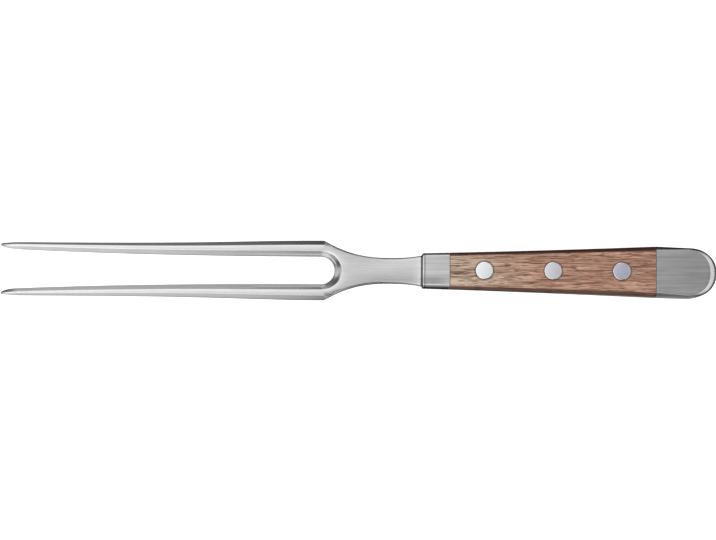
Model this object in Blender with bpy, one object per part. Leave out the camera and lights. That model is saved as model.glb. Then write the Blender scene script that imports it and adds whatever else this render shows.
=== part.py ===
"""A two-tined meat fork with a riveted wooden grip, lying flat with its tines towards -X.

One steel forging carries the tines, the neck, the bolster, the tang and the pommel. Two wooden
scales lie on the tang, one above and one below, and three two-piece rivets hold them there.
"""

import math

import bmesh
import bpy
from mathutils import Vector

MM = 0.001

# Lengths along the fork, one after the other from the tips to the butt
TINE_LENGTH = 142.9 * MM  # tip to the bottom of the slot between the tines
NECK_LENGTH = 37.1 * MM  # bottom of the slot to the bolster's front
BOLSTER_LENGTH = 11.9 * MM
GRIP_LENGTH = 87.8 * MM  # wooden grip, between the bolster and the pommel
POMMEL_LENGTH = 26.1 * MM

# Tines
SLOT_WIDTH = 11.9 * MM  # between the tines at their roots
TINE_ROOT_WIDTH = 6.85 * MM
TINE_ROOT_THICKNESS = 5.2 * MM
TINE_TIP_WIDTH = 2.8 * MM  # just behind the point
TINE_TIP_THICKNESS = 2.4 * MM
TIP_SPREAD = 22.9 * MM  # across the outsides of both tines, just behind the points
POINT_LENGTH = 9.0 * MM
POINT_SHARE = 0.72  # where the point lies on a tine's width, from its inner to its outer edge
INNER_BEVEL = 2.3 * MM  # at the root, on the side of the slot
OUTER_BEVEL = 2.0 * MM
TIP_BEVEL = 1.35  # how much broader the slot's bevel is at the points, for the tine's width
INNER_EDGE_HEIGHT = 1.6 * MM  # flat edge between the upper and the lower bevel, at the root
OUTER_EDGE_HEIGHT = 1.0 * MM
LAND_CROWN = 0.15 * MM  # rise of the narrow top land between the two bevels
INNER_HOLLOW = 0.1  # how far that bevel is ground hollow at the root, for its breadth
CROTCH_BEVEL = 2.9 * MM  # breadth of the slot's bevel at its round end
SLOT_FLARE = 2.4  # power of the curve that opens the slot towards the tips
TINE_SWELL = 3.0  # power of the eased curve that spreads the tines towards the shoulder

# Shoulder and neck
SHOULDER_LEAD = 4.4 * MM  # shoulder corner, ahead of the bottom of the slot
SHOULDER_FADE = 3.8 * MM  # length in which the tine's outer bevel runs out
WAIST_FROM_BOLSTER = 13.4 * MM
WAIST_WIDTH = 10.9 * MM
WAIST_CURVE = 2.4  # power of the curve from the waist to both ends of the neck
NECK_END_WIDTH = 13.1 * MM  # where the neck meets the bolster
NECK_END_THICKNESS = 5.36 * MM
NECK_SWELL = 9.0  # power of the curve that thickens the neck towards the bolster
NECK_EDGE = 0.7 * MM  # broken edge along the neck
NECK_CROWN = 0.3 * MM  # fall of the neck's upper face from its middle to its edges

# Bolster, grip and pommel
HANDLE_THICKNESS = 15.0 * MM
BOLSTER_WIDTH = 14.5 * MM
BOLSTER_DRAFT = 0.35 * MM  # slope of the bolster's front wall
BOLSTER_CHAMFER = 0.45 * MM  # breadth of the flat bevel above that wall
BOLSTER_CHAMFER_DROP = 0.12 * MM
POMMEL_WIDTH = 21.5 * MM  # where the grip meets the pommel
FLANK_HOLLOW = 0.22 * MM  # how far the grip's flanks are drawn in between their ends
FRONT_BEVEL = 0.9 * MM  # breadth of the long edge bevel, at the bolster
REAR_BEVEL = 1.7 * MM  # and at the pommel
BEVEL_SLOPE = 1.5  # drop of that bevel for its breadth
NOSE_WIDTH = 21.3 * MM  # pommel, where its round end starts
NOSE_LENGTH = 12.3 * MM
NOSE_POWER = 2.15  # 2 is an ellipse, more is squarer
NOSE_BEVEL = 0.9 * MM  # breadth of the pommel's bevel, where its round end starts
NOSE_ROLL = 3.0 * MM  # and at the butt
NOSE_ROLL_DROP = 3.6 * MM
POMMEL_DROOP = 0.45 * MM  # how far the round end lies off the fork's axis, towards -Y
BEVEL_BOW = 0.08  # how far a handle's bevel bulges, as a share of its breadth
TANG_THICKNESS = 4.4 * MM

# Rivets, each a barrel pressed on to a pin
RIVET_NAMES = ("front", "middle", "rear")
RIVET_SETBACK = 14.7 * MM  # outer rivets, from the ends of the wooden grip
RIVET_HEAD_DIAMETER = 7.4 * MM
RIVET_HEAD_HEIGHT = 2.4 * MM
RIVET_CROWN = 0.01 * MM  # the heads' rims lie this far below the wood
RIVET_RIM_CHAMFER = 0.25 * MM
RIVET_BARREL_DIAMETER = 5.0 * MM
RIVET_PIN_DIAMETER = 3.0 * MM
RIVET_BORE_FLOOR = 3.2 * MM  # from the head's face to the blind end of the barrel's bore
RIVET_PIN_LEAD = 0.4 * MM  # chamfer on the pin's end

# Fits
GLUE_LINE = 0.2 * MM  # between the wood and the steel
RIVET_PLAY = 0.15 * MM  # round a rivet's head, barrel and pin

# Fineness of the curves
TINE_ROWS = 15
POINT_ROWS = 5
CROTCH_ROWS = 14
NECK_ROWS = 18
GRIP_ROWS = 8
NOSE_ROWS = 12
ROUND_SIDES = 32
CROWN_RINGS = 3
SMOOTH_ANGLE = math.radians(20)
MERGE = 0.001 * MM
CUTTER_REACH = 2.0 * MM  # how far a hole's cutter stands out of the handle

# Places along the fork, from the bolster's front; heights count from the middle of the tang
X_SLOT_END = -NECK_LENGTH
X_SLOT_CENTRE = X_SLOT_END - SLOT_WIDTH / 2
X_SHOULDER = X_SLOT_END - SHOULDER_LEAD
X_CROTCH = X_SLOT_END + CROTCH_BEVEL
X_TIP = X_SLOT_END - TINE_LENGTH
X_POINT = X_TIP + POINT_LENGTH
X_WAIST = -WAIST_FROM_BOLSTER
X_GRIP = BOLSTER_LENGTH
X_POMMEL = X_GRIP + GRIP_LENGTH
X_BUTT = X_POMMEL + POMMEL_LENGTH
X_NOSE = X_BUTT - NOSE_LENGTH
X_MIDDLE = (X_TIP + X_BUTT) / 2
FACE = HANDLE_THICKNESS / 2
SEAT = TANG_THICKNESS / 2 + GLUE_LINE
SHOULDER_WIDTH = SLOT_WIDTH + 2 * TINE_ROOT_WIDTH


def clear_scene():
    for old in list(bpy.data.objects):
        bpy.data.objects.remove(old)


def metal_or_wood(name, colour, metallic, roughness):
    material = bpy.data.materials.new(name)
    material.use_nodes = True
    shader = material.node_tree.nodes["Principled BSDF"]
    shader.inputs["Base Color"].default_value = (*colour, 1.0)
    shader.inputs["Metallic"].default_value = metallic
    shader.inputs["Roughness"].default_value = roughness
    return material


def lerp(start, end, share):
    return start + (end - start) * share


def spaced(start, end, steps):
    return [lerp(start, end, step / steps) for step in range(steps + 1)]


def quarter_turn(steps):
    return spaced(0, math.pi / 2, steps)


def eased(share):
    """Runs from 0 to 1 without a kink at either end."""
    share = min(1.0, max(0.0, share))
    return share * share * (3 - 2 * share)


# Plan outlines, as half widths from the centre line


def tine_edges(x):
    """Inner and outer edge of one tine."""
    along = (x - X_TIP) / (X_SHOULDER - X_TIP)
    outer = lerp(TIP_SPREAD, SHOULDER_WIDTH, eased(along) ** TINE_SWELL) / 2
    tip_inner = TIP_SPREAD / 2 - TINE_TIP_WIDTH
    inner = lerp(SLOT_WIDTH / 2, tip_inner, (1 - along) ** SLOT_FLARE)
    return inner, outer


def neck_half_width(x):
    """The neck draws in from the shoulder to a waist and opens again to the bolster."""
    if x < X_WAIST:
        share, end_width = (X_WAIST - x) / (X_WAIST - X_SHOULDER), SHOULDER_WIDTH
    else:
        share, end_width = (x - X_WAIST) / WAIST_FROM_BOLSTER, NECK_END_WIDTH
    return lerp(WAIST_WIDTH, end_width, share**WAIST_CURVE) / 2


def grip_half_width(x):
    """The flanks of bolster, tang and wood, one slightly hollow line from bolster to pommel."""
    share = x / X_POMMEL
    return lerp(BOLSTER_WIDTH, POMMEL_WIDTH, share) / 2 - 4 * FLANK_HOLLOW * share * (1 - share)


def grip_bevel(x):
    return lerp(FRONT_BEVEL, REAR_BEVEL, x / X_POMMEL)


def nose_curve(angle, length, width):
    """Point on a quarter of the pommel's round end, from its side at angle 0 to the butt."""
    power = 2 / NOSE_POWER
    along = length * math.sin(angle) ** power
    across = width * max(0.0, math.cos(angle)) ** power
    return X_NOSE + along, across


# Heights


def tine_half_thickness(x):
    share = (x - X_TIP) / (X_SHOULDER - X_TIP)
    return lerp(TINE_TIP_THICKNESS, TINE_ROOT_THICKNESS, share) / 2


def neck_half_thickness(x):
    """The neck is as thick as the tines up to its waist and swells from there to the bolster."""
    share = max(0.0, (x - X_WAIST) / WAIST_FROM_BOLSTER)
    return lerp(TINE_ROOT_THICKNESS, NECK_END_THICKNESS, share**NECK_SWELL) / 2


# Rows of points over a quarter of the fork: the half at +Y, above the middle of the tang


def at_mid_height(point):
    return Vector((point.x, point.y, 0))


def bowed(low, high, bow):
    """Point halfway up a bevel from low to high, standing proud of it by bow, or below it."""
    run = Vector((high.x - low.x, high.y - low.y, 0))
    outward = Vector((0, 0, run.length)) - run.normalized() * (high.z - low.z)
    return (low + high) / 2 + outward * bow


def top_row(inner, edge, wall, crown=0.0, bow=BEVEL_BOW):
    """Across the top from inner to edge, then down the bevel to the top of the side wall."""
    middle = (inner + edge) / 2 + Vector((0, 0, crown))
    return [inner, middle, edge, bowed(wall, edge, bow), wall]


def with_side(row):
    """Carries a row down its side wall, past the height of the tang's face, to mid height."""
    wall = row[-1]
    beside_tang = Vector((wall.x, wall.y, min(wall.z, TANG_THICKNESS / 2)))
    return row + [beside_tang, at_mid_height(wall)]


def tine_row(inner_wall, inner_crease, outer_crease, outer_wall, crown, hollow, outer_bow=0.0):
    """Over a tine, from the middle of its inner edge to the middle of its outer edge."""
    ground = bowed(inner_wall, inner_crease, -hollow)
    top = top_row(inner_crease, outer_crease, outer_wall, crown, outer_bow)
    return [at_mid_height(inner_wall), inner_wall, ground] + top


def straight_tine_row(x):
    inner, outer = tine_edges(x)
    half = tine_half_thickness(x)
    along = (x - X_TIP) / (X_SHOULDER - X_TIP)
    width_share = (outer - inner) / TINE_ROOT_WIDTH
    height_share = 2 * half / TINE_ROOT_THICKNESS
    inner_bevel = INNER_BEVEL * width_share * lerp(TIP_BEVEL, 1, along)
    return tine_row(
        Vector((x, inner, INNER_EDGE_HEIGHT / 2 * height_share)),
        Vector((x, inner + inner_bevel, half)),
        Vector((x, outer - OUTER_BEVEL * width_share, half)),
        Vector((x, outer, OUTER_EDGE_HEIGHT / 2 * height_share)),
        LAND_CROWN * height_share,
        INNER_HOLLOW * along**2,
    )


def point_row(angle):
    """The section behind the point, drawn in towards the point on an elliptic nose."""
    base = straight_tine_row(X_POINT)
    centre = Vector((X_POINT, lerp(base[0].y, base[-1].y, POINT_SHARE), 0))
    forward = Vector((-POINT_LENGTH * math.cos(angle), 0, 0))
    return [centre + forward + (point - centre) * math.sin(angle) for point in base]


def crotch_row(angle):
    """From the slot's round end out to the shoulder, fanning round from the tine to the neck."""
    half = TINE_ROOT_THICKNESS / 2
    round_x, round_y = math.sin(angle), math.cos(angle)
    wall_radius = SLOT_WIDTH / 2
    outer_x = lerp(X_SHOULDER, X_CROTCH, angle / (math.pi / 2))
    outer_y = neck_half_width(outer_x)
    fade = min(1.0, (outer_x - X_SHOULDER) / SHOULDER_FADE)
    outer_bevel = lerp(OUTER_BEVEL, NECK_EDGE, fade)
    outer_wall = lerp(OUTER_EDGE_HEIGHT / 2, half - NECK_EDGE, fade)
    wall_x = X_SLOT_CENTRE + wall_radius * round_x
    crease_x = X_SLOT_CENTRE + (wall_radius + CROTCH_BEVEL) * round_x
    return tine_row(
        Vector((wall_x, wall_radius * round_y, INNER_EDGE_HEIGHT / 2)),
        Vector((crease_x, (wall_radius + INNER_BEVEL) * round_y, half)),
        Vector((outer_x, outer_y - outer_bevel, half)),
        Vector((outer_x, outer_y, outer_wall)),
        LAND_CROWN * round_y**2,
        INNER_HOLLOW,
        BEVEL_BOW * fade,
    )


def neck_row(x):
    """The neck, flat where it leaves the crotch and crowned from its waist on."""
    half, width = neck_half_thickness(x), neck_half_width(x)
    fall = NECK_CROWN * eased((x - X_CROTCH) / (X_WAIST - X_CROTCH))
    return top_row(
        Vector((x, 0, half)),
        Vector((x, width - NECK_EDGE, half - fall)),
        Vector((x, width, half - fall - NECK_EDGE)),
        fall / 4,
    )


def grip_row(x, inset=0.0):
    """Outer section of the bolster or the wood; inset draws it in all round."""
    width, face, bevel = grip_half_width(x) - inset, FACE - inset, grip_bevel(x)
    return top_row(
        Vector((x, 0, face)),
        Vector((x, width - bevel, face)),
        Vector((x, width, face - bevel * BEVEL_SLOPE)),
    )


def tang_row(x):
    edge = Vector((x, grip_half_width(x), TANG_THICKNESS / 2))
    return top_row(Vector((x, 0, TANG_THICKNESS / 2)), edge, edge)


def pommel_row(x):
    share = (x - X_POMMEL) / (X_NOSE - X_POMMEL)
    width = lerp(POMMEL_WIDTH, NOSE_WIDTH, share) / 2
    bevel = lerp(REAR_BEVEL, NOSE_BEVEL, share)
    return top_row(
        Vector((x, 0, FACE)),
        Vector((x, width - bevel, FACE)),
        Vector((x, width, FACE - REAR_BEVEL * BEVEL_SLOPE)),
    )


def nose_row(angle):
    """Round end of the pommel; its bevel widens to a soft roll at the butt."""
    wall_x, wall_y = nose_curve(angle, NOSE_LENGTH, NOSE_WIDTH / 2)
    edge_x, edge_y = nose_curve(angle, NOSE_LENGTH - NOSE_ROLL, NOSE_WIDTH / 2 - NOSE_BEVEL)
    drop = lerp(REAR_BEVEL * BEVEL_SLOPE, NOSE_ROLL_DROP, math.sin(angle) ** 2)
    return top_row(
        Vector((edge_x, 0, FACE)),
        Vector((edge_x, edge_y, FACE)),
        Vector((wall_x, wall_y, FACE - drop)),
    )


# Meshes


def skin(mesh, rows):
    """Covers the space between neighbouring rows with four-sided faces."""
    grid = [[mesh.verts.new(point) for point in row] for row in rows]
    for row, following in zip(grid, grid[1:]):
        for column in range(len(row) - 1):
            corners = (row[column], following[column], following[column + 1], row[column + 1])
            mesh.faces.new(corners)
    return grid


def droop_pommel(mesh):
    """Bends the pommel off the axis, from where the grip ends to where its round end starts."""
    for vert in mesh.verts:
        share = (vert.co.x - X_POMMEL) / (X_NOSE - X_POMMEL)
        vert.co.y -= POMMEL_DROOP * min(1.0, max(0.0, share))


def mirrored(mesh, axis):
    """Adds the other half, and joins the two along the plane that they share."""
    bmesh.ops.remove_doubles(mesh, verts=mesh.verts, dist=MERGE)
    geometry = mesh.verts[:] + mesh.edges[:] + mesh.faces[:]
    bmesh.ops.mirror(mesh, geom=geometry, axis=axis, merge_dist=MERGE)


def add_piece(name, mesh, material, axes, x=0.0):
    """Makes the object, on the fork's own axes and x along them from the bolster's front."""
    bmesh.ops.remove_doubles(mesh, verts=mesh.verts, dist=MERGE)
    bmesh.ops.recalc_face_normals(mesh, faces=mesh.faces)
    data = bpy.data.meshes.new(name)
    mesh.to_mesh(data)
    mesh.free()
    data.shade_smooth()
    data.set_sharp_from_angle(angle=SMOOTH_ANGLE)
    piece = bpy.data.objects.new(name, data)
    piece.parent = axes
    piece.location = (x, 0, 0)
    if material:
        data.materials.append(material)
    bpy.context.scene.collection.objects.link(piece)
    return piece


def turned(profile):
    """Mesh of a round piece from its profile, (radius, height) from end to end on the axis."""
    mesh = bmesh.new()
    points = [mesh.verts.new((radius, 0, height)) for radius, height in profile]
    edges = [mesh.edges.new(pair) for pair in zip(points, points[1:])]
    bmesh.ops.spin(
        mesh,
        geom=points + edges,
        cent=(0, 0, 0),
        axis=(0, 0, 1),
        angle=2 * math.pi,
        steps=ROUND_SIDES,
    )
    return mesh


def cut_holes(piece, cutters):
    for cutter in cutters:
        cut = piece.modifiers.new(f"{cutter.name}_hole", "BOOLEAN")
        cut.operation = "DIFFERENCE"
        cut.object = cutter


# Pieces


def add_forged_fork(axes, steel, cutters):
    points = [point_row(angle) for angle in quarter_turn(POINT_ROWS)[:-1]]
    straight = [straight_tine_row(x) for x in spaced(X_POINT, X_SLOT_CENTRE, TINE_ROWS)[:-1]]
    crotch = [crotch_row(angle) for angle in quarter_turn(CROTCH_ROWS)]
    # Behind the slot the two halves meet, so the rows start on the centre line
    behind_slot = crotch[-1][3:]
    neck = [neck_row(x) for x in spaced(X_CROTCH, 0, NECK_ROWS)[1:]]
    drawn_in = grip_row(BOLSTER_DRAFT, BOLSTER_CHAMFER_DROP)
    bolster = [drawn_in, grip_row(BOLSTER_DRAFT + BOLSTER_CHAMFER), grip_row(X_GRIP)]
    tang = [tang_row(x) for x in spaced(X_GRIP, X_POMMEL, GRIP_ROWS)]
    pommel = [pommel_row(X_POMMEL)] + [nose_row(angle) for angle in quarter_turn(NOSE_ROWS)]

    mesh = bmesh.new()
    skin(mesh, [with_side(row) for row in points + straight + crotch])
    skin(mesh, [with_side(row) for row in [behind_slot] + neck + bolster + tang + pommel])
    mirrored(mesh, "Y")
    mirrored(mesh, "Z")
    droop_pommel(mesh)
    fork = add_piece("forged_fork", mesh, steel, axes)
    cut_holes(fork, cutters)


def add_scale(name, side, axes, wood, cutters):
    """One wooden scale, above the tang with side 1 and below it with side -1."""
    rows = []
    for x in spaced(X_GRIP + GLUE_LINE, X_POMMEL - GLUE_LINE, GRIP_ROWS):
        seat = [Vector((x, grip_half_width(x), SEAT)), Vector((x, 0, SEAT))]
        rows.append([Vector((p.x, p.y, side * p.z)) for p in grip_row(x) + seat])
    mesh = bmesh.new()
    grid = skin(mesh, rows)
    mesh.faces.new(grid[0])
    mesh.faces.new(grid[-1])
    mirrored(mesh, "Y")
    scale = add_piece(name, mesh, wood, axes)
    cut_holes(scale, cutters)


def crowned_head(radius):
    """Profile of a rivet's head, from the middle of its face to the edge of its underside."""
    flat = radius - RIVET_RIM_CHAMFER
    shares = spaced(0, 1, CROWN_RINGS)
    face = [(flat * share, FACE - RIVET_CROWN * share**2) for share in shares]
    rim_top = FACE - RIVET_CROWN - RIVET_RIM_CHAMFER
    return face + [(radius, rim_top), (radius, FACE - RIVET_HEAD_HEIGHT)]


def pin_profile():
    """The upper half of a rivet: a head on a solid pin."""
    radius = RIVET_PIN_DIAMETER / 2
    end = RIVET_BORE_FLOOR - FACE + RIVET_PLAY
    shank = [
        (radius, FACE - RIVET_HEAD_HEIGHT),
        (radius, end + RIVET_PIN_LEAD),
        (radius - RIVET_PIN_LEAD, end),
        (0, end),
    ]
    return crowned_head(RIVET_HEAD_DIAMETER / 2) + shank


def barrel_profile():
    """The lower half of a rivet: a head on a barrel with a blind bore for the pin."""
    radius, bore = RIVET_BARREL_DIAMETER / 2, RIVET_PIN_DIAMETER / 2 + RIVET_PLAY
    mouth = FACE - RIVET_HEAD_HEIGHT - RIVET_PLAY
    floor = RIVET_BORE_FLOOR - FACE
    head = [(r, -height) for r, height in crowned_head(RIVET_HEAD_DIAMETER / 2)]
    shank = [
        (radius, RIVET_HEAD_HEIGHT - FACE),
        (radius, mouth),
        (bore, mouth),
        (bore, floor),
        (0, floor),
    ]
    return head + shank


def hole_profile():
    """The hole for a rivet through the whole handle, with a counterbore for each head."""
    shank = RIVET_BARREL_DIAMETER / 2 + RIVET_PLAY
    head = RIVET_HEAD_DIAMETER / 2 + RIVET_PLAY
    end = FACE + CUTTER_REACH
    step = FACE - RIVET_HEAD_HEIGHT - GLUE_LINE
    return [
        (0, end),
        (head, end),
        (head, step),
        (shank, step),
        (shank, -step),
        (head, -step),
        (head, -end),
        (0, -end),
    ]


def rivet_places():
    """Name and place of each rivet, evenly spaced between the outer two."""
    first, last = X_GRIP + RIVET_SETBACK, X_POMMEL - RIVET_SETBACK
    return list(zip(RIVET_NAMES, spaced(first, last, len(RIVET_NAMES) - 1)))


def add_hole_cutter(name, x, axes):
    cutter = add_piece(f"{name}_rivet_hole", turned(hole_profile()), None, axes, x)
    cutter.data.shade_flat()
    cutter.hide_render = True
    cutter.display_type = "WIRE"
    return cutter


def main():
    clear_scene()
    steel = metal_or_wood("brushed_steel", (0.60, 0.60, 0.60), 1.0, 0.32)
    wood = metal_or_wood("walnut", (0.36, 0.20, 0.13), 0.0, 0.55)
    aluminium = metal_or_wood("rivet_aluminium", (0.80, 0.82, 0.86), 1.0, 0.30)

    axes = bpy.data.objects.new("fork_axes", None)
    axes.location = (-X_MIDDLE, 0, FACE)
    bpy.context.scene.collection.objects.link(axes)

    places = rivet_places()
    cutters = [add_hole_cutter(name, x, axes) for name, x in places]
    add_forged_fork(axes, steel, cutters)
    add_scale("upper_scale", 1, axes, wood, cutters)
    add_scale("lower_scale", -1, axes, wood, cutters)
    for name, x in places:
        add_piece(f"{name}_rivet_pin", turned(pin_profile()), aluminium, axes, x)
        add_piece(f"{name}_rivet_barrel", turned(barrel_profile()), aluminium, axes, x)


main()
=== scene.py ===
"""A two-tined meat fork as it lies on a pale table: steel forging, walnut scales and rivets.

The forging is laid as a quarter, in sheets of points, and then mirrored. The scales are carved
from a block and the rivets are turned. Each piece takes the place of one CAD node.
"""

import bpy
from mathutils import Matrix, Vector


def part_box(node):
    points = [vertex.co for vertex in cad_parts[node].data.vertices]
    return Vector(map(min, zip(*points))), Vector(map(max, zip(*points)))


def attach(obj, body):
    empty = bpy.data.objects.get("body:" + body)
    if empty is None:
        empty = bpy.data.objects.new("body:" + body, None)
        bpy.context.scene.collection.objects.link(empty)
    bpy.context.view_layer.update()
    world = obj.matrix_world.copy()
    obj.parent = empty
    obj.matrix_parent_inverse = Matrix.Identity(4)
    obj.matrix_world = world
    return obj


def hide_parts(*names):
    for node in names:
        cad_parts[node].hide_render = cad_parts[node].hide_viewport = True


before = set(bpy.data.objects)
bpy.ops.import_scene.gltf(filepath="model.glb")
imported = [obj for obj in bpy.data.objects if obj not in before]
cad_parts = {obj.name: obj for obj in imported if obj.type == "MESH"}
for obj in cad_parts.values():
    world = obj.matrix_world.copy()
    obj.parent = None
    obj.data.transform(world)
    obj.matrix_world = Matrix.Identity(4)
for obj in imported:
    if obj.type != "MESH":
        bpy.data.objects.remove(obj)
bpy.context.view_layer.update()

import math

import bmesh
import bpy
from mathutils import Matrix, Vector

MM = 0.001
DEGREE = math.pi / 180
NEAR = 0.02 * MM  # points this close to a place count as being there
MERGE = 0.001 * MM  # points this close to each other become one

# Places along the fork, and heights above the table
TINE_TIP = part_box("forged_fork")[0].x
POINT_ROOT = TINE_TIP + 9.0 * MM
SLOT_END = TINE_TIP + 142.9 * MM  # bottom of the slot between the tines
SHOULDER = SLOT_END - 4.4 * MM
BOLSTER_FRONT = SLOT_END + 37.1 * MM
WAIST = BOLSTER_FRONT - 13.4 * MM  # narrowest place of the neck
BOLSTER_BACK = BOLSTER_FRONT + 11.9 * MM
GLUE_GAP = 0.2 * MM
POMMEL_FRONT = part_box("upper_scale")[1].x + GLUE_GAP
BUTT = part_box("forged_fork")[1].x
NOSE = BUTT - 12.3 * MM  # where the pommel's round end starts
MID_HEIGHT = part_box("forged_fork")[1].z / 2
FACE = MID_HEIGHT  # from mid height to the handle's upper face

# Tines
SLOT_RADIUS = 5.95 * MM
SLOT_CENTRE = SLOT_END - SLOT_RADIUS
ROOT_WIDTH = 6.85 * MM
ROOT_HALF_THICKNESS = 2.6 * MM
TIP_WIDTH = 2.8 * MM
TIP_HALF_THICKNESS = 1.2 * MM
TIP_HALF_SPREAD = 11.45 * MM
SHOULDER_HALF_WIDTH = SLOT_RADIUS + ROOT_WIDTH
INNER_BEVEL = 2.3 * MM  # on the side of the slot, at the root
OUTER_BEVEL = 2.0 * MM
TIP_BEVEL = 1.35  # the slot's bevel is broader by this at the points
INNER_EDGE = 0.8 * MM  # half the height of a tine's edges, at its root
OUTER_EDGE = 0.5 * MM
LAND_CROWN = 0.15 * MM  # rise of the land between the two bevels
INNER_HOLLOW = 0.1  # as a share of the bevel's breadth, at the root
CROTCH_BEVEL = 2.9 * MM  # the slot's bevel at its round end
CROTCH = SLOT_END + CROTCH_BEVEL
NECK_JOIN = CROTCH + 8 * MM  # the rows round the slot's end fan out this far along the neck
SLOT_FLARE = 2.4  # power of the curve that opens the slot towards the tips
TINE_SWELL = 3.0  # power of the curve that spreads the tines towards the shoulder
POINT_SHARE = 0.72  # the points lie nearer to a tine's outer edge
SHOULDER_FADE = 3.8 * MM  # in which a tine's outer bevel runs out

# Neck
WAIST_HALF_WIDTH = 5.45 * MM
WAIST_CURVE = 2.4  # power of the curve from the waist to both ends
NECK_END_HALF_WIDTH = 6.55 * MM
NECK_END_HALF_THICKNESS = 2.68 * MM
NECK_SWELL = 9.0  # power of the curve that thickens the neck towards the bolster
NECK_EDGE = 0.7 * MM
NECK_CROWN = 0.3 * MM

# Bolster, grip and pommel
BOLSTER_DRAFT = 0.35 * MM  # how far the bolster's front wall leans back
BOLSTER_CHAMFER = 0.45 * MM
BOLSTER_CHAMFER_DROP = 0.12 * MM
BOLSTER_BORDER = 0.45 * MM  # narrow facet along both sides of the bolster's face
BOLSTER_BORDER_DROP = 0.15 * MM
BOLSTER_HALF_WIDTH = 7.25 * MM
POMMEL_HALF_WIDTH = 10.75 * MM
FLANK_HOLLOW = 0.22 * MM  # how far the flanks are drawn in between their ends
FRONT_BEVEL = 0.9 * MM  # long edges of the handle, at the bolster
REAR_BEVEL = 1.7 * MM  # and at the pommel
BEVEL_SLOPE = 1.5  # drop of that bevel for its breadth
BEVEL_BOW = 0.08  # how far it bulges, for its breadth
TANG_HALF_THICKNESS = 2.2 * MM
NOSE_HALF_WIDTH = 10.65 * MM
NOSE_POWER = 2.15  # 2 is an ellipse, more is squarer
NOSE_BEVEL = 0.9 * MM
NOSE_ROLL = 3.0 * MM  # breadth of the same bevel at the butt
NOSE_ROLL_DROP = 3.6 * MM
NOSE_FAN = 0.6  # rows on the pommel's face fan out from this share of its round end
POMMEL_DROOP = 0.45 * MM  # the round end lies this far off the axis, on the near side

# Rows of points along the forging
POINT_ROWS = 8
TINE_ROWS = 20
CROTCH_ROWS = 30
NECK_ROWS = 34
TANG_ROWS = 8
NOSE_ROWS = 24

# Rounding of the forging's edges, as the breadth taken off each face
WIDEST_ROUNDING = 0.6 * MM
CREASE_ROUNDING = 0.3 * MM  # between a tine's facets, at its root
WALL_ROUNDING = 0.42 * MM  # above and below a tine's flat edges, at its root
TIP_SHARE = 0.35  # how much of these two is left at the points
FULL_ROUNDING = SHOULDER - 2 * MM  # from here on a tine has all of it
CROTCH_ROUNDING = 0.55 * MM  # behind the slot's round end
NECK_ROUNDING = 0.14 * MM
BOLSTER_ROUNDING = 0.12 * MM
JOINT_ROUNDING = 0.1 * MM  # rims that meet the wood
JOINT_START = 2.5 * MM  # from mid height to where these rims start, above the tang
POMMEL_ROUNDING = 0.3 * MM
CORNER_ANGLE = 14 * DEGREE  # edges bent by more than this are rounded
POMMEL_CORNER_ANGLE = 8 * DEGREE  # the same on the pommel
SMOOTH_ANGLE = 38 * DEGREE

# Wooden scales
BLOCK_HALF_WIDTH = 1 * MM  # of the block, before it is drawn to the grip's width
BLOCK_LEVELS = (1.5 * MM, 3 * MM)  # its two loops, above its underside
SCALE_STATIONS = 12
WOOD_CORNER_ANGLE = 10 * DEGREE
WOOD_ROUNDING = 0.3 * MM
FACE_SPREAD = 0.0283  # how fast the sides of the wood's face draw apart from its middle

# Rivets
RIVET_PLACES = ("front", "middle", "rear")
FRONT_RIVET = (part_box("front_rivet_pin")[0].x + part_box("front_rivet_pin")[1].x) / 2
RIVET_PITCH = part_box("middle_rivet_pin")[0].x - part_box("front_rivet_pin")[0].x
RIVET_SIDES = 64
HEAD_RADIUS = 3.7 * MM
HEAD_HEIGHT = 2.4 * MM
HEAD_CROWN = 0.01 * MM
RIM_ROUNDING = 0.18 * MM
RIM_LAND = 0.1 * MM  # flat ring inside the rounded rim
PIN_RADIUS = 1.5 * MM
PIN_LEAD = 0.4 * MM  # chamfer on the pin's end
BARREL_RADIUS = 2.5 * MM
BORE_RADIUS = 1.65 * MM
BORE_FLOOR = 3.2 * MM  # from the head's face to the blind end of the barrel's bore
RIVET_PLAY = 0.15 * MM
COUNTERBORE_PLAY = 0.2 * MM
CUTTER_REACH = 2 * MM  # how far a hole's cutter stands out of the wood

# Camera
LENS = 120.0
SENSOR = 36.0
CAMERA_DISTANCE = 1.021
CAMERA_TILT = 3.6 * DEGREE
CAMERA_ROLL = 0.34 * DEGREE
CAMERA_TARGET = Vector((0.0, 0.3 * MM, MID_HEIGHT))

# Table and light tent
TABLE_SIZE = 6.0
TABLE_TOP = -0.2 * MM
TABLE_GLOW = 0.62
BACKDROP = 0.9  # what the camera sees of the tent
TENT_LIGHT = 1.25
TENT_ALONG = (  # light from the tips' end at -1 to the butt's end at 1
    (-1.0, 0.7),
    (-0.84, 0.78),
    (-0.6, 0.7),
    (-0.4, 1.6),
    (-0.25, 1.55),
    (-0.12, 1.42),
    (-0.03, 1.26),
    (0.0, 1.17),
    (0.04, 1.0),
    (0.3, 0.95),
    (0.6, 1.12),
    (0.8, 1.25),
    (1.0, 1.0),
)
TENT_ARCH = (  # light across the fork, in degrees from overhead towards the far side
    (-180, 0.15),
    (-150, 0.1),
    (-125, 0.12),
    (-108, 0.18),
    (-100, 0.42),
    (-92, 0.72),
    (-80, 0.8),
    (-72, 0.72),
    (-62, 0.72),
    (-50, 0.68),
    (-42, 1.0),
    (-36, 1.65),
    (-26, 1.55),
    (-15, 1.1),
    (-8, 1.0),
    (10, 1.0),
    (20, 1.2),
    (34, 1.4),
    (45, 1.0),
    (57, 0.6),
    (68, 0.5),
    (74, 0.52),
    (80, 0.66),
    (84, 0.45),
    (87, 0.16),
    (91, 0.08),
    (120, 0.06),
    (150, 0.05),
    (168, 0.1),
    (180, 0.15),
)


# Shader maths


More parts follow.
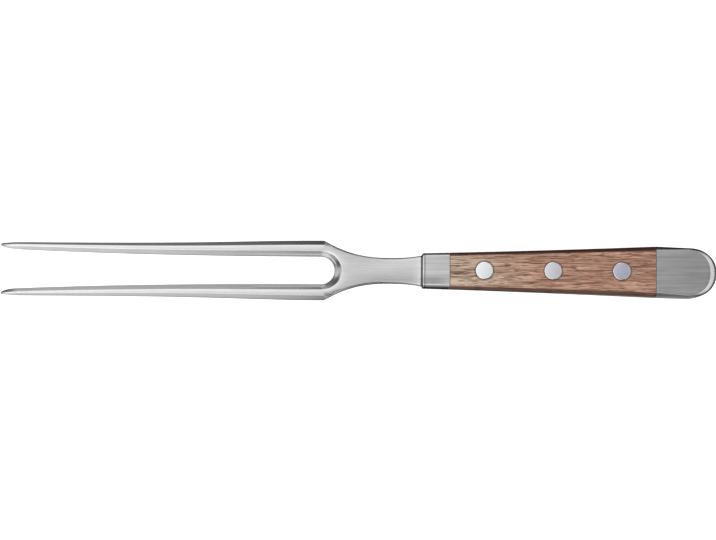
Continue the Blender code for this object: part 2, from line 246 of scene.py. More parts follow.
def feed(socket, value):
    if isinstance(value, Value):
        socket.id_data.links.new(value.socket, socket)
    else:
        socket.default_value = value


class Value:
    """A number that varies over a surface; sums with it become Math nodes."""

    def __init__(self, socket):
        self.socket = socket

    def reckon(self, operation, first, second=0.0):
        node = self.socket.id_data.nodes.new("ShaderNodeMath")
        node.operation = operation
        feed(node.inputs[0], first)
        feed(node.inputs[1], second)
        return Value(node.outputs[0])

    def __add__(self, other):
        return self.reckon("ADD", self, other)

    def __radd__(self, other):
        return self.reckon("ADD", other, self)

    def __sub__(self, other):
        return self.reckon("SUBTRACT", self, other)

    def __rsub__(self, other):
        return self.reckon("SUBTRACT", other, self)

    def __mul__(self, other):
        return self.reckon("MULTIPLY", self, other)

    def __rmul__(self, other):
        return self.reckon("MULTIPLY", other, self)

    def __pow__(self, other):
        return self.reckon("POWER", self, other)

    def __mod__(self, other):
        return self.reckon("FLOORED_MODULO", self, other)

    def __abs__(self):
        return self.reckon("ABSOLUTE", self)


class Nodes:
    """A node tree of a material or of the world, built up node by node."""

    def __init__(self, tree):
        self.tree = tree

    def add(self, kind, settings=None, sockets=None, out=None):
        """Adds a node; its settings come first, then the values or links of its sockets."""
        node = self.tree.nodes.new("ShaderNode" + kind)
        for name, value in (settings or {}).items():
            if name == "stops":
                self.set_stops(node.color_ramp, value)
            else:
                setattr(node, name, value)
        for name, value in (sockets or {}).items():
            feed(self.socket(node.inputs, name), value)
        return Value(self.socket(node.outputs, out))

    @staticmethod
    def socket(sockets, name):
        """A socket by its number or its name, or else the first one in use."""
        if isinstance(name, int):
            return sockets[name]
        return next(s for s in sockets if s.enabled and name in (None, s.name))

    @staticmethod
    def set_stops(ramp, stops):
        while len(ramp.elements) < len(stops):
            ramp.elements.new(1.0)
        for element, (position, tint) in zip(ramp.elements, stops):
            element.position = position
            element.color = tint

    def axes(self, vector):
        return [self.add("SeparateXYZ", None, {0: vector}, out) for out in ("X", "Y", "Z")]

    def noise(self, vector, rates, detail=2.0, roughness=0.5):
        """Noise that runs at its own rate along each axis, per metre."""
        stretched = self.add("VectorMath", {"operation": "MULTIPLY"}, {0: vector, 1: rates})
        sockets = {"Vector": stretched, "Scale": 1.0, "Detail": detail, "Roughness": roughness}
        return self.add("TexNoise", None, sockets, 0)

    def rise(self, value, low, high):
        """0 below low and 1 above high, with a soft change between them."""
        sockets = {"Value": value, "From Min": low, "From Max": high}
        return self.add("MapRange", {"interpolation_type": "SMOOTHSTEP"}, sockets)

    def fall(self, value, low, high):
        """1 below low and 0 above high."""
        return 1 - self.rise(value, low, high)

    def band(self, value, start, end):
        """1 between two soft edges, each given by where it begins and is over."""
        return self.rise(value, *start) * self.fall(value, *end)

    def ramp(self, value, stops):
        """A level that goes from stop to stop, each of them a value and its level."""
        low, high = stops[0][0], stops[-1][0]
        greys = [((place - low) / (high - low), grey(level)) for place, level in stops]
        share = (value - low) * (1 / (high - low))
        return self.add("ValToRGB", {"stops": greys}, {"Fac": share}, "Color")

    def mix(self, share, first, second):
        sockets = {"Factor": share, "A": first, "B": second}
        return self.add("Mix", {"data_type": "RGBA"}, sockets)

    def bump(self, strength, distance, height):
        sockets = {"Strength": strength, "Distance": distance, "Height": height}
        return self.add("Bump", None, sockets)


def colour(red, green, blue):
    return (red, green, blue, 1.0)


def grey(level):
    return colour(level, level, level)


# Finishes

DULL_STEEL = grey(0.33)
BRIGHT_STEEL = colour(0.60, 0.60, 0.596)
# painted shade for a patch on the bolster's face
SHADE_PATCH_STEEL = grey(0.15)
# painted shade for a thin line behind the bolster's front chamfer
SHADE_LINE_STEEL = grey(0.12)
# darker steel for the corner at the foot of the bolster's front wall
CORNER_DARK_STEEL = grey(0.03)
FRONT_WOOD_DARK = colour(0.40, 0.275, 0.196)
FRONT_WOOD_PALE = colour(0.61, 0.475, 0.365)
REAR_WOOD_DARK = colour(0.34, 0.165, 0.110)
REAR_WOOD_PALE = colour(0.52, 0.282, 0.192)
WOOD_FLECK = colour(0.63, 0.50, 0.395)
WOOD_STREAK = colour(0.12, 0.062, 0.037)
WOOD_PORE = colour(0.05, 0.025, 0.016)
# oil and painted shade on the wood's edges, most on the far side
WOOD_OIL_AND_SHADE = colour(0.042, 0.011, 0.007)
# painted shade round the rivets
RIVET_SHADE = colour(0.05, 0.04, 0.035)
WARM_ALUMINIUM = colour(0.72, 0.74, 0.75), colour(0.79, 0.81, 0.82)
COOL_ALUMINIUM = colour(0.76, 0.75, 0.9), colour(0.83, 0.82, 0.98)
TABLE_PAINT = grey(0.86), grey(0.9)


def new_finish(name, **constants):
    """A new material, its nodes, its Object coordinates and its shader's sockets."""
    material = bpy.data.materials.new(name)
    material.use_nodes = True
    nodes = Nodes(material.node_tree)
    shader = material.node_tree.nodes["Principled BSDF"]
    for socket, value in constants.items():
        shader.inputs[socket.replace("_", " ")].default_value = value
    return material, nodes, nodes.add("TexCoord", out="Object"), shader.inputs


def brushed_steel():
    """Brushed lengthways: little on the tines, more on the neck and most on the handle."""
    material, nodes, place, shader = new_finish("brushed_steel", Metallic=1.0)
    x, y, _ = nodes.axes(place)
    neck = nodes.rise(x, SHOULDER, WAIST)
    handle = nodes.rise(x, BOLSTER_FRONT - 1 * MM, BOLSTER_FRONT)
    fine = nodes.noise(place, (40, 4600, 4600), 3)
    coarse = nodes.noise(place, (18, 1700, 1700))
    cloud = nodes.noise(place, (110, 260, 260))
    brush = fine * 0.45 + coarse * 0.55
    strength = 0.35 + neck * 0.35 + handle * 0.9
    tone = 0.5 + (brush - 0.5) * strength + (cloud - 0.5) * 0.3
    polished = nodes.mix(tone, DULL_STEEL, BRIGHT_STEEL)
    # On the bolster's face a patch of painted shade and a line of painted shade, and the corner
    # before it darker and rougher
    shade_patch = handle * nodes.band(y, (-6.1 * MM, -5.6 * MM), (-4 * MM, -1.6 * MM))
    shade_patch = shade_patch * nodes.fall(x, BOLSTER_FRONT + 5 * MM, BOLSTER_BACK + 2 * MM)
    # painted shade: a dark line just behind the bolster's front chamfer
    shade_line = nodes.fall(abs(x - BOLSTER_FRONT - 1.3 * MM), 0.15 * MM, 0.4 * MM)
    # darker and rougher in the corner at the foot of the bolster's front wall
    corner = nodes.fall(abs(x - BOLSTER_FRONT - 0.1 * MM), 0.3 * MM, 0.55 * MM)
    shade_patched = nodes.mix(shade_patch * 0.5, polished, SHADE_PATCH_STEEL)
    shade_lined = nodes.mix(shade_line * 0.65, shade_patched, SHADE_LINE_STEEL)
    feed(shader["Base Color"], nodes.mix(corner * 0.75, shade_lined, CORNER_DARK_STEEL))
    feed(shader["Roughness"], 0.13 + brush * 0.1 + cloud * 0.04 + neck * 0.02 + corner * 0.2)
    feed(shader["Normal"], nodes.bump(0.3, 0.01 * MM, brush * strength + cloud * 0.4))
    return material


def walnut():
    """Pale behind the bolster and redder towards the pommel, its edges darkened by oil and by
    painted shade.
    """
    material, nodes, place, shader = new_finish("oiled_walnut", Specular_IOR_Level=0.25)
    x, y, z = nodes.axes(place)
    wander = nodes.noise(place, (24, 80, 80))
    sway = nodes.add("CombineXYZ", None, {1: wander * 1.2 * MM, 2: wander * 0.8 * MM})
    grain = nodes.add("VectorMath", {"operation": "ADD"}, {0: place, 1: sway})
    figure = nodes.rise(nodes.noise(grain, (14, 260, 200), 3), 0.36, 0.64)
    streak = nodes.rise(nodes.noise(grain, (75, 2300, 2300), 1, 0.4), 0.54, 0.62)
    fleck = nodes.rise(nodes.noise(grain, (90, 2600, 2600), 1, 0.4), 0.52, 0.64)
    pore = nodes.rise(nodes.noise(grain, (210, 2300, 2300), 1), 0.57, 0.65)
    fibres = nodes.noise(grain, (420, 3200, 3200))
    reddening = nodes.rise(x, BOLSTER_BACK - 5 * MM, BOLSTER_BACK + 46 * MM)
    front = nodes.mix(figure, FRONT_WOOD_DARK, FRONT_WOOD_PALE)
    rear = nodes.mix(figure, REAR_WOOD_DARK, REAR_WOOD_PALE)
    flecked = nodes.mix(fleck * 0.5, nodes.mix(reddening, front, rear), WOOD_FLECK)
    streaked = nodes.mix(streak * (0.78 - reddening * 0.08), flecked, WOOD_STREAK)
    fibred = nodes.mix(nodes.rise(fibres, 0.35, 0.7) * 0.3, streaked, WOOD_STREAK)
    pored = nodes.mix(pore * 0.7, fibred, WOOD_PORE)
    # Oil and painted shade darken the flanks and bevels; painted shade darkens the far side's
    # bevels and rim most
    off_middle = abs(z - MID_HEIGHT)
    flank = nodes.fall(off_middle, FACE - 0.25 * MM, FACE - 0.01 * MM)
    bevel = nodes.rise(off_middle, 4 * MM, 5 * MM)
    # painted shade on the far side's bevels and rim
    far_bevel_shade = nodes.rise(y, -2 * MM, 2 * MM) * bevel
    far_rim_shade = nodes.rise(y - x * FACE_SPREAD, 4.8 * MM, 5.2 * MM) * bevel
    soaked_and_shaded = flank * (0.72 + reddening * 0.08 + far_bevel_shade * 0.17)
    oil_and_shade = 1 - (1 - soaked_and_shaded) * (1 - far_rim_shade * 0.85)
    oiled_and_shaded = nodes.mix(oil_and_shade, pored, WOOD_OIL_AND_SHADE)
    # A ring of painted shade in the wood round each rivet, broader than its gap
    along = (x - FRONT_RIVET + RIVET_PITCH / 2) % RIVET_PITCH - RIVET_PITCH / 2
    from_rivet = (along * along + y * y) ** 0.5
    ring = nodes.fall(from_rivet, HEAD_RADIUS + 0.4 * MM, HEAD_RADIUS + 0.9 * MM)
    feed(shader["Base Color"], nodes.mix(ring * 0.5, oiled_and_shaded, RIVET_SHADE))
    feed(shader["Roughness"], 0.46 + pore * 0.2 + fibres * 0.1)
    feed(shader["Normal"], nodes.bump(0.4, 0.05 * MM, fibres * 0.3 - pore - streak * 0.3))
    return material


def rivet_aluminium():
    """Satin, and cooler at the rear rivet than at the front one."""
    material, nodes, place, shader = new_finish("rivet_aluminium", Metallic=1.0)
    x = nodes.axes(place)[0]
    cloud = nodes.noise(place, (300, 300, 300))
    scratches = nodes.noise(place, (900, 4200, 900), 3)
    cooling = nodes.rise(x - FRONT_RIVET, 21.3 * MM, 61.3 * MM)
    warm, cool = (nodes.mix(cloud, *tints) for tints in (WARM_ALUMINIUM, COOL_ALUMINIUM))
    feed(shader["Base Color"], nodes.mix(cooling, warm, cool))
    feed(shader["Roughness"], 0.08 + scratches * 0.07 + cloud * 0.04)
    feed(shader["Normal"], nodes.bump(0.25, 0.008 * MM, scratches + cloud))
    return material


def pale_table():
    material, nodes, place, shader = new_finish(
        "pale_table",
        Roughness=0.9,
        Emission_Color=grey(1.0),
        Emission_Strength=TABLE_GLOW,
    )
    cloud = nodes.noise(place, (5, 5, 5))
    feed(shader["Base Color"], nodes.mix(cloud, *TABLE_PAINT))
    return material


# Working by hand on one piece at a time


def take(*pieces):
    """Selects these pieces and nothing else; the first one is worked on."""
    if bpy.context.mode != "OBJECT":
        bpy.ops.object.mode_set(mode="OBJECT")
    bpy.ops.object.select_all(action="DESELECT")
    for piece in pieces:
        piece.select_set(True)
    if pieces:
        bpy.context.view_layer.objects.active = pieces[0]


def open_up(piece):
    """Opens a piece for editing, with all of it selected."""
    take(piece)
    bpy.ops.object.mode_set(mode="EDIT")
    bpy.ops.mesh.select_all(action="SELECT")


def close_up():
    bpy.ops.object.mode_set(mode="OBJECT")


def pick(kind, wanted):
    """Selects the vertices, edges or faces that are wanted, and nothing else."""
    bpy.ops.mesh.select_mode(type=kind)
    bpy.ops.mesh.select_all(action="DESELECT")
    data = bpy.context.object.data
    mesh = bmesh.from_edit_mesh(data)
    for part in {"VERT": mesh.verts, "EDGE": mesh.edges, "FACE": mesh.faces}[kind]:
        if wanted(part):
            part.select_set(True)
    bmesh.update_edit_mesh(data)


def push(distance):
    """Draws the picked faces out upwards, or downwards with a distance below 0."""
    bpy.ops.mesh.extrude_region_move(TRANSFORM_OT_translate={"value": (0, 0, distance)})


def close_to(value, target):
    return abs(value - target) < NEAR


def middle(edge):
    return (edge.verts[0].co + edge.verts[1].co) / 2


def apply_modifier(piece, kind, **settings):
    take(piece)
    modifier = piece.modifiers.new(kind.lower(), kind)
    for name, value in settings.items():
        setattr(modifier, name, value)
    bpy.ops.object.modifier_apply(modifier=modifier.name)


def start_piece(name):
    """Takes the primitive just added as a piece, with its place in its mesh."""
    piece = bpy.context.object
    piece.name = piece.data.name = name
    bpy.ops.object.transform_apply(location=True, rotation=True, scale=True)
    return piece


def copy_piece(piece, name):
    take(piece)
    bpy.ops.object.duplicate()
    copied = bpy.context.object
    copied.name = copied.data.name = name
    return copied


def copy_along(piece, name, pitches):
    """A copy of a rivet's half or hole, so many rivet pitches towards the butt."""
    copied = copy_piece(piece, name)
    open_up(copied)
    bpy.ops.transform.translate(value=(pitches * RIVET_PITCH, 0, 0))
    close_up()
    return copied


def join_pieces(pieces):
    take(*pieces)
    bpy.ops.object.join()
    return pieces[0]


def turn_over(piece):
    """Turns a piece over, about the fork's length at mid height."""
    open_up(piece)
    bpy.ops.transform.rotate(value=math.pi, orient_axis="X", center_override=(0, 0, MID_HEIGHT))
    close_up()


def smooth(piece):
    """Shades the rounded edges smooth and keeps the broad faces flat."""
    take(piece)
    bpy.ops.object.shade_smooth_by_angle(angle=SMOOTH_ANGLE)
    apply_modifier(piece, "WEIGHTED_NORMAL", keep_sharp=True)


def hand_in(piece, node, material):
    """The piece takes a node's place on the fork."""
    piece.data.materials.clear()
    piece.data.materials.append(material)
    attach(piece, "root")
    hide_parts(node)


# Forging: outlines and heights of one quarter, above mid height and on the far side


def lerp(start, end, share):
    return start + (end - start) * share


def spaced(start, end, steps):
    return [lerp(start, end, step / steps) for step in range(steps + 1)]


def quarter_turn(steps):
    return spaced(0, math.pi / 2, steps)


def eased(share):
    """0 to 1 without a kink at either end."""
    share = min(1.0, max(0.0, share))
    return share * share * (3 - 2 * share)


def along_tine(x):
    return (x - TINE_TIP) / (SHOULDER - TINE_TIP)


def along_grip(x):
    return (x - BOLSTER_FRONT) / (POMMEL_FRONT - BOLSTER_FRONT)


def tine_edges(x):
    """Inner and outer edge of a tine."""
    along = along_tine(x)
    outer = lerp(TIP_HALF_SPREAD, SHOULDER_HALF_WIDTH, eased(along) ** TINE_SWELL)
    inner = lerp(SLOT_RADIUS, TIP_HALF_SPREAD - TIP_WIDTH, (1 - along) ** SLOT_FLARE)
    return inner, outer


def neck_half_width(x):
    if x < WAIST:
        share, end = (WAIST - x) / (WAIST - SHOULDER), SHOULDER_HALF_WIDTH
    else:
        share, end = (x - WAIST) / (BOLSTER_FRONT - WAIST), NECK_END_HALF_WIDTH
    return lerp(WAIST_HALF_WIDTH, end, share**WAIST_CURVE)


def neck_half_thickness(x):
    share = max(0.0, (x - WAIST) / (BOLSTER_FRONT - WAIST))
    return lerp(ROOT_HALF_THICKNESS, NECK_END_HALF_THICKNESS, share**NECK_SWELL)


def neck_fall(x):
    """How much lower the crowned neck is at its edge."""
    return NECK_CROWN * eased((x - CROTCH) / (WAIST - CROTCH))


def neck_crown(inner_x, outer_x):
    """How far the middle of a row across the neck stands above its ends."""
    return neck_fall(outer_x) / 2 - neck_fall((inner_x + outer_x) / 2) / 4


def grip_half_width(x):
    share = along_grip(x)
    hollow = 4 * FLANK_HOLLOW * share * (1 - share)
    return lerp(BOLSTER_HALF_WIDTH, POMMEL_HALF_WIDTH, share) - hollow


def grip_bevel(x):
    return lerp(FRONT_BEVEL, REAR_BEVEL, along_grip(x))


def nose_curve(angle, length, width):
    """A point on the pommel's round end, from its side at angle 0 to the butt."""
    power = 2 / NOSE_POWER
    along = length * math.sin(angle) ** power
    across = width * max(0.0, math.cos(angle)) ** power
    return NOSE + along, across


# Forging: rows of points, each from the slot or the centre line out to the flank


def at_mid_height(point):
    return Vector((point.x, point.y, 0))


def bowed(low, high, bow):
    """Halfway up a bevel, proud of it by a share of its breadth, or below it."""
    run = Vector((high.x - low.x, high.y - low.y, 0))
    outward = Vector((0, 0, run.length)) - run.normalized() * (high.z - low.z)
    return (low + high) / 2 + outward * bow


def top_row(inner, edge, wall, crown=0.0, bow=BEVEL_BOW):
    """Across the top to its edge, then down the bevel to the top of the flank's wall."""
    crest = (inner + edge) / 2 + Vector((0, 0, crown))
    return [inner, crest, edge, bowed(wall, edge, bow), wall]


def with_flank(row):
    return row + [at_mid_height(row[-1])]


def with_tang_flank(row):
    """A flank with a point at the height of the tang's face."""
    wall = row[-1]
    beside_tang = Vector((wall.x, wall.y, min(wall.z, TANG_HALF_THICKNESS)))
    return row + [beside_tang, at_mid_height(wall)]


def tine_row(inner_wall, inner_crease, outer_crease, outer_wall, crown, hollow, outer_bow=0.0):
    """Over a tine, from the middle of its inner edge to the top of its outer edge."""
    ground = bowed(inner_wall, inner_crease, -hollow)
    top = top_row(inner_crease, outer_crease, outer_wall, crown, outer_bow)
    return [at_mid_height(inner_wall), inner_wall, ground] + top


def straight_tine_row(x):
    inner, outer = tine_edges(x)
    along = along_tine(x)
    half = lerp(TIP_HALF_THICKNESS, ROOT_HALF_THICKNESS, along)
    width_share = (outer - inner) / ROOT_WIDTH
    height_share = half / ROOT_HALF_THICKNESS
    inner_bevel = INNER_BEVEL * width_share * lerp(TIP_BEVEL, 1, along)
    return tine_row(
        Vector((x, inner, INNER_EDGE * height_share)),
        Vector((x, inner + inner_bevel, half)),
        Vector((x, outer - OUTER_BEVEL * width_share, half)),
        Vector((x, outer, OUTER_EDGE * height_share)),
        LAND_CROWN * height_share,
        INNER_HOLLOW * along**2,
    )


def point_row(angle):
    """The section behind the point, drawn in on an elliptic nose."""
    base = straight_tine_row(POINT_ROOT)
    centre = Vector((POINT_ROOT, lerp(base[0].y, base[-1].y, POINT_SHARE), 0))
    forward = Vector(((TINE_TIP - POINT_ROOT) * math.cos(angle), 0, 0))
    return [centre + forward + (point - centre) * math.sin(angle) for point in base]


def crotch_row(angle):
    """From the slot's round end to the shoulder, fanning round from the tine to the neck."""
    half = ROOT_HALF_THICKNESS
    round_x, round_y = math.sin(angle), math.cos(angle)
    outer_x = lerp(SHOULDER, NECK_JOIN, angle / (math.pi / 2))
    outer_y = neck_half_width(outer_x)
    outer_top = half - neck_fall(outer_x)
    fade = min(1.0, (outer_x - SHOULDER) / SHOULDER_FADE)
    outer_bevel = lerp(OUTER_BEVEL, NECK_EDGE, fade)
    outer_wall = lerp(OUTER_EDGE, outer_top - NECK_EDGE, fade)
    wall_x = SLOT_CENTRE + SLOT_RADIUS * round_x
    crease_x = SLOT_CENTRE + (SLOT_RADIUS + CROTCH_BEVEL) * round_x
    return tine_row(
        Vector((wall_x, SLOT_RADIUS * round_y, INNER_EDGE)),
        Vector((crease_x, (SLOT_RADIUS + INNER_BEVEL) * round_y, half)),
        Vector((outer_x, outer_y - outer_bevel, outer_top)),
        Vector((outer_x, outer_y, outer_wall)),
        LAND_CROWN * round_y**2 + neck_crown(crease_x, outer_x),
        INNER_HOLLOW,
        BEVEL_BOW * fade,
    )


def neck_row(inner_x, outer_x):
    width = neck_half_width(outer_x)
    top = neck_half_thickness(outer_x) - neck_fall(outer_x)
    return top_row(
        Vector((inner_x, 0, neck_half_thickness(inner_x))),
        Vector((outer_x, width - NECK_EDGE, top)),
        Vector((outer_x, width, top - NECK_EDGE)),
        neck_crown(inner_x, outer_x),
    )


def handle_row(x, inset=0.0):
    """The handle's outer section, drawn in all round by an inset."""
    width, face, bevel = grip_half_width(x) - inset, FACE - inset, grip_bevel(x)
    return top_row(
        Vector((x, 0, face)),
        Vector((x, width - bevel, face)),
        Vector((x, width, face - bevel * BEVEL_SLOPE)),
    )


def bolster_row(x, inset=0.0):
    """The same with the narrow facet beside the bolster's face."""
    row = handle_row(x, inset)
    row[1] = row[2] - Vector((0, BOLSTER_BORDER, 0))
    row[2] = row[2] - Vector((0, 0, BOLSTER_BORDER_DROP))
    row[3] = row[3] - Vector((0, 0, BOLSTER_BORDER_DROP / 2))
    return row


def tang_row(x):
    edge = Vector((x, grip_half_width(x), TANG_HALF_THICKNESS))
    return top_row(Vector((x, 0, TANG_HALF_THICKNESS)), edge, edge)


def nose_row(angle):
    """Round end of the pommel; its bevel widens to a soft roll at the butt."""
    wall_x, wall_y = nose_curve(angle, BUTT - NOSE, NOSE_HALF_WIDTH)
    edge_x, edge_y = nose_curve(angle, BUTT - NOSE - NOSE_ROLL, NOSE_HALF_WIDTH - NOSE_BEVEL)
    drop = lerp(REAR_BEVEL * BEVEL_SLOPE, NOSE_ROLL_DROP, math.sin(angle) ** 2)
    return top_row(
        Vector((lerp(NOSE, edge_x, NOSE_FAN), 0, FACE)),
        Vector((edge_x, edge_y, FACE)),
        Vector((wall_x, wall_y, FACE - drop)),
    )


# Forging: sheets laid on those rows, mirrored, rounded and bored


def lay_sheet(name, rows):
    """A sheet of four-sided faces, its points drawn one by one to their places."""
    take()
    bpy.ops.mesh.primitive_grid_add(
        x_subdivisions=len(rows[0]) - 1, y_subdivisions=len(rows) - 1, size=10 * MM
    )
    sheet = start_piece(name)
    open_up(sheet)
    bpy.ops.mesh.select_mode(type="VERT")
    mesh = bmesh.from_edit_mesh(sheet.data)
    mesh.verts.ensure_lookup_table()
    for index, place in enumerate(point for row in rows for point in row):
        bpy.ops.mesh.select_all(action="DESELECT")
        mesh.verts[index].select_set(True)
        bpy.ops.transform.translate(value=place - mesh.verts[index].co)
    close_up()
    return sheet


def lay_front_sheet():
    """The tine and the crotch, from the point to behind the slot."""
    points = [point_row(angle) for angle in quarter_turn(POINT_ROWS)[:-1]]
    straight = [straight_tine_row(x) for x in spaced(POINT_ROOT, SLOT_CENTRE, TINE_ROWS)[:-1]]
    crotch = [crotch_row(angle) for angle in quarter_turn(CROTCH_ROWS)]
    return lay_sheet("fork_forging", [with_flank(row) for row in points + straight + crotch])


def lay_neck_sheet():
    """From behind the slot, where the two halves meet, to the bolster's front."""
    behind_slot = crotch_row(math.pi / 2)[3:]
    inner = spaced(CROTCH, BOLSTER_FRONT, NECK_ROWS)[1:]
    outer = spaced(NECK_JOIN, BOLSTER_FRONT, NECK_ROWS)[1:]
    neck = [neck_row(*ends) for ends in zip(inner, outer)]
    return lay_sheet("neck_sheet", [with_flank(row) for row in [behind_slot] + neck])


def lay_handle_sheet():
    """The bolster with its front wall, the tang and the pommel."""
    wall_top = BOLSTER_FRONT + BOLSTER_DRAFT
    neck_end = neck_row(BOLSTER_FRONT, BOLSTER_FRONT)
    bolster = [
        bolster_row(wall_top, BOLSTER_CHAMFER_DROP),
        bolster_row(wall_top + BOLSTER_CHAMFER),
        bolster_row(BOLSTER_BACK),
    ]
    tang = [tang_row(x) for x in spaced(BOLSTER_BACK, POMMEL_FRONT, TANG_ROWS)]
    pommel = [handle_row(POMMEL_FRONT)] + [nose_row(angle) for angle in quarter_turn(NOSE_ROWS)]
    rows = [with_tang_flank(row) for row in bolster + tang + pommel]
    # The neck has no point beside the tang, so the top of its wall counts twice
    return lay_sheet("handle_sheet", [with_flank(neck_end + neck_end[-1:])] + rows)


def tine_rounding(edge):
    """Finer towards the points, which stay sharp."""
    x = middle(edge).x
    if x < POINT_ROOT:
        return 0.0
    upright = any(abs(face.normal.z) < 0.1 for face in edge.link_faces)
    rounding = WALL_ROUNDING if upright else CREASE_ROUNDING
    share = min(1.0, (x - TINE_TIP) / (FULL_ROUNDING - TINE_TIP))
    return rounding * lerp(TIP_SHARE, 1, share)


def rounding_of(edge):
    """How much of an edge of the forging is rounded off."""
    place = middle(edge)
    on_pommel = place.x > POMMEL_FRONT
    corner = POMMEL_CORNER_ANGLE if on_pommel else CORNER_ANGLE
    if len(edge.link_faces) != 2 or edge.calc_face_angle(0.0) < corner:
        return 0.0
    if close_to(place.x, BOLSTER_BACK) or close_to(place.x, POMMEL_FRONT):
        return JOINT_ROUNDING if abs(place.z - MID_HEIGHT) > JOINT_START else 0.0
    if on_pommel:
        climb = abs(edge.verts[0].co.z - edge.verts[1].co.z)
        return POMMEL_ROUNDING if climb < edge.calc_length() / 4 else 0.0
    if place.x > BOLSTER_BACK:
        return 0.0
    if place.x > BOLSTER_FRONT - NEAR:
        return BOLSTER_ROUNDING
    if place.x > CROTCH + NEAR:
        return NECK_ROUNDING
    if place.x > SLOT_END and abs(place.y) < SLOT_RADIUS:
        return CROTCH_ROUNDING
    return tine_rounding(edge)


def mark_roundings(forging):
    """Gives each edge of the forging that is rounded its weight."""
    open_up(forging)
    roundings = {}
    for edge in bmesh.from_edit_mesh(forging.data).edges:
        roundings.setdefault(round(rounding_of(edge), 6), set()).add(edge.index)
    for rounding, members in roundings.items():
        if rounding:
            pick("EDGE", lambda edge: edge.index in members)
            bpy.ops.transform.edge_bevelweight(value=rounding / WIDEST_ROUNDING)
    close_up()


def forge_fork(steel, cutter):
    """Tines, neck, bolster, tang and pommel, in one piece."""
    forging = join_pieces([lay_front_sheet(), lay_neck_sheet(), lay_handle_sheet()])
    open_up(forging)
    bpy.ops.mesh.remove_doubles(threshold=MERGE)
    close_up()
    apply_modifier(forging, "MIRROR", use_axis=(False, True, True), merge_threshold=MERGE)
    open_up(forging)
    bpy.ops.mesh.remove_doubles(threshold=MERGE)
    bpy.ops.mesh.normals_make_consistent(inside=False)
    bpy.ops.transform.translate(value=(0, 0, MID_HEIGHT))
    pick("VERT", lambda vert: vert.co.x > NOSE - NEAR)
    bpy.ops.transform.translate(value=(0, -POMMEL_DROOP, 0))
    close_up()
    mark_roundings(forging)
    apply_modifier(
        forging,
        "BEVEL",
        width=WIDEST_ROUNDING,
        segments=3,
        limit_method="WEIGHT",
        use_clamp_overlap=False,
        miter_outer="MITER_SHARP",
    )
    apply_modifier(forging, "BOOLEAN", operation="DIFFERENCE", object=cutter, solver="EXACT")
    smooth(forging)
    hand_in(forging, "forged_fork", steel)


# Wooden scales


def shape_level(x, height, point):
    """Brings one level of the block, at one station, to a point of the grip's section."""
    pick("VERT", lambda vert: close_to(vert.co.x, x) and close_to(vert.co.z, height))
    widened = (1, point.y / BLOCK_HALF_WIDTH, 1)
    bpy.ops.transform.resize(value=widened, center_override=(x, 0, height))
    bpy.ops.transform.translate(value=(0, 0, MID_HEIGHT + point.z - height))


def pick_long_corners(low, high):
    """Picks a scale's long corners, but none on its seat or at its ends."""
    pick("EDGE", lambda edge: (
        edge.calc_face_angle(0.0) > WOOD_CORNER_ANGLE
        and middle(edge).z > low.z + NEAR
        and not any(close_to(middle(edge).x, end) for end in (low.x, high.x))
    ))


def carve_scale(cutter):
    """A block drawn to the grip's section, its long edges rounded and its rivet holes bored."""
    low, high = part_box("upper_scale")
    first, second = (low.z + level for level in BLOCK_LEVELS)
    take()
    bpy.ops.mesh.primitive_cube_add(
        size=1,
        location=((low.x + high.x) / 2, 0, (low.z + first) / 2),
        scale=(high.x - low.x, 2 * BLOCK_HALF_WIDTH, first - low.z),
    )
    scale = start_piece("upper_walnut_scale")
    open_up(scale)
    pick("FACE", lambda face: face.normal.z > 0.9)
    push(second - first)
    push(high.z - second)
    stations = spaced(low.x, high.x, SCALE_STATIONS)
    for x in stations[1:-1]:
        bpy.ops.mesh.select_all(action="SELECT")
        bpy.ops.mesh.bisect(plane_co=(x, 0, 0), plane_no=(1, 0, 0))
    for x in stations:
        edge, bow, wall = handle_row(x)[2:]
        seat = Vector((x, wall.y, low.z - MID_HEIGHT))
        # From the top down, so that no level is moved on to one that is still to be picked
        for height, point in ((high.z, edge), (second, bow), (first, wall), (low.z, seat)):
            shape_level(x, height, point)
    pick_long_corners(low, high)
    bpy.ops.mesh.bevel(offset=WOOD_ROUNDING, segments=3, affect="EDGES")
    close_up()
    apply_modifier(scale, "BOOLEAN", operation="DIFFERENCE", object=cutter, solver="EXACT")
    smooth(scale)
    return scale


def make_scales(wood, cutter):
    upper = carve_scale(cutter)
    lower = copy_piece(upper, "lower_walnut_scale")
    turn_over(lower)
    hand_in(upper, "upper_scale", wood)
    hand_in(lower, "lower_scale", wood)


# Rivets and their holes


def turn_blank(name, radius, low_z, high_z):
    """A cylinder on the front rivet's axis, from one height to the other."""
    take()
    bpy.ops.mesh.primitive_cylinder_add(
        vertices=RIVET_SIDES,
        radius=radius,
        depth=high_z - low_z,
        location=(FRONT_RIVET, 0, (low_z + high_z) / 2),
    )
    return start_piece(name)


def make_hole_cutter():
    """A counterbore for the head above a narrower bore for the shank, three in a row."""
    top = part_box("upper_scale")[1].z
    step = top - HEAD_HEIGHT - COUNTERBORE_PLAY
    cutter = turn_blank("rivet_hole_cutter", HEAD_RADIUS + RIVET_PLAY, step, top + CUTTER_REACH)
    open_up(cutter)
    pick("FACE", lambda face: face.normal.z < -0.9)
    bpy.ops.mesh.inset(thickness=HEAD_RADIUS - BARREL_RADIUS)
    push(BORE_FLOOR - step)
    close_up()
    return join_pieces([cutter] + [copy_along(cutter, f"hole_{turn}", turn) for turn in (1, 2)])


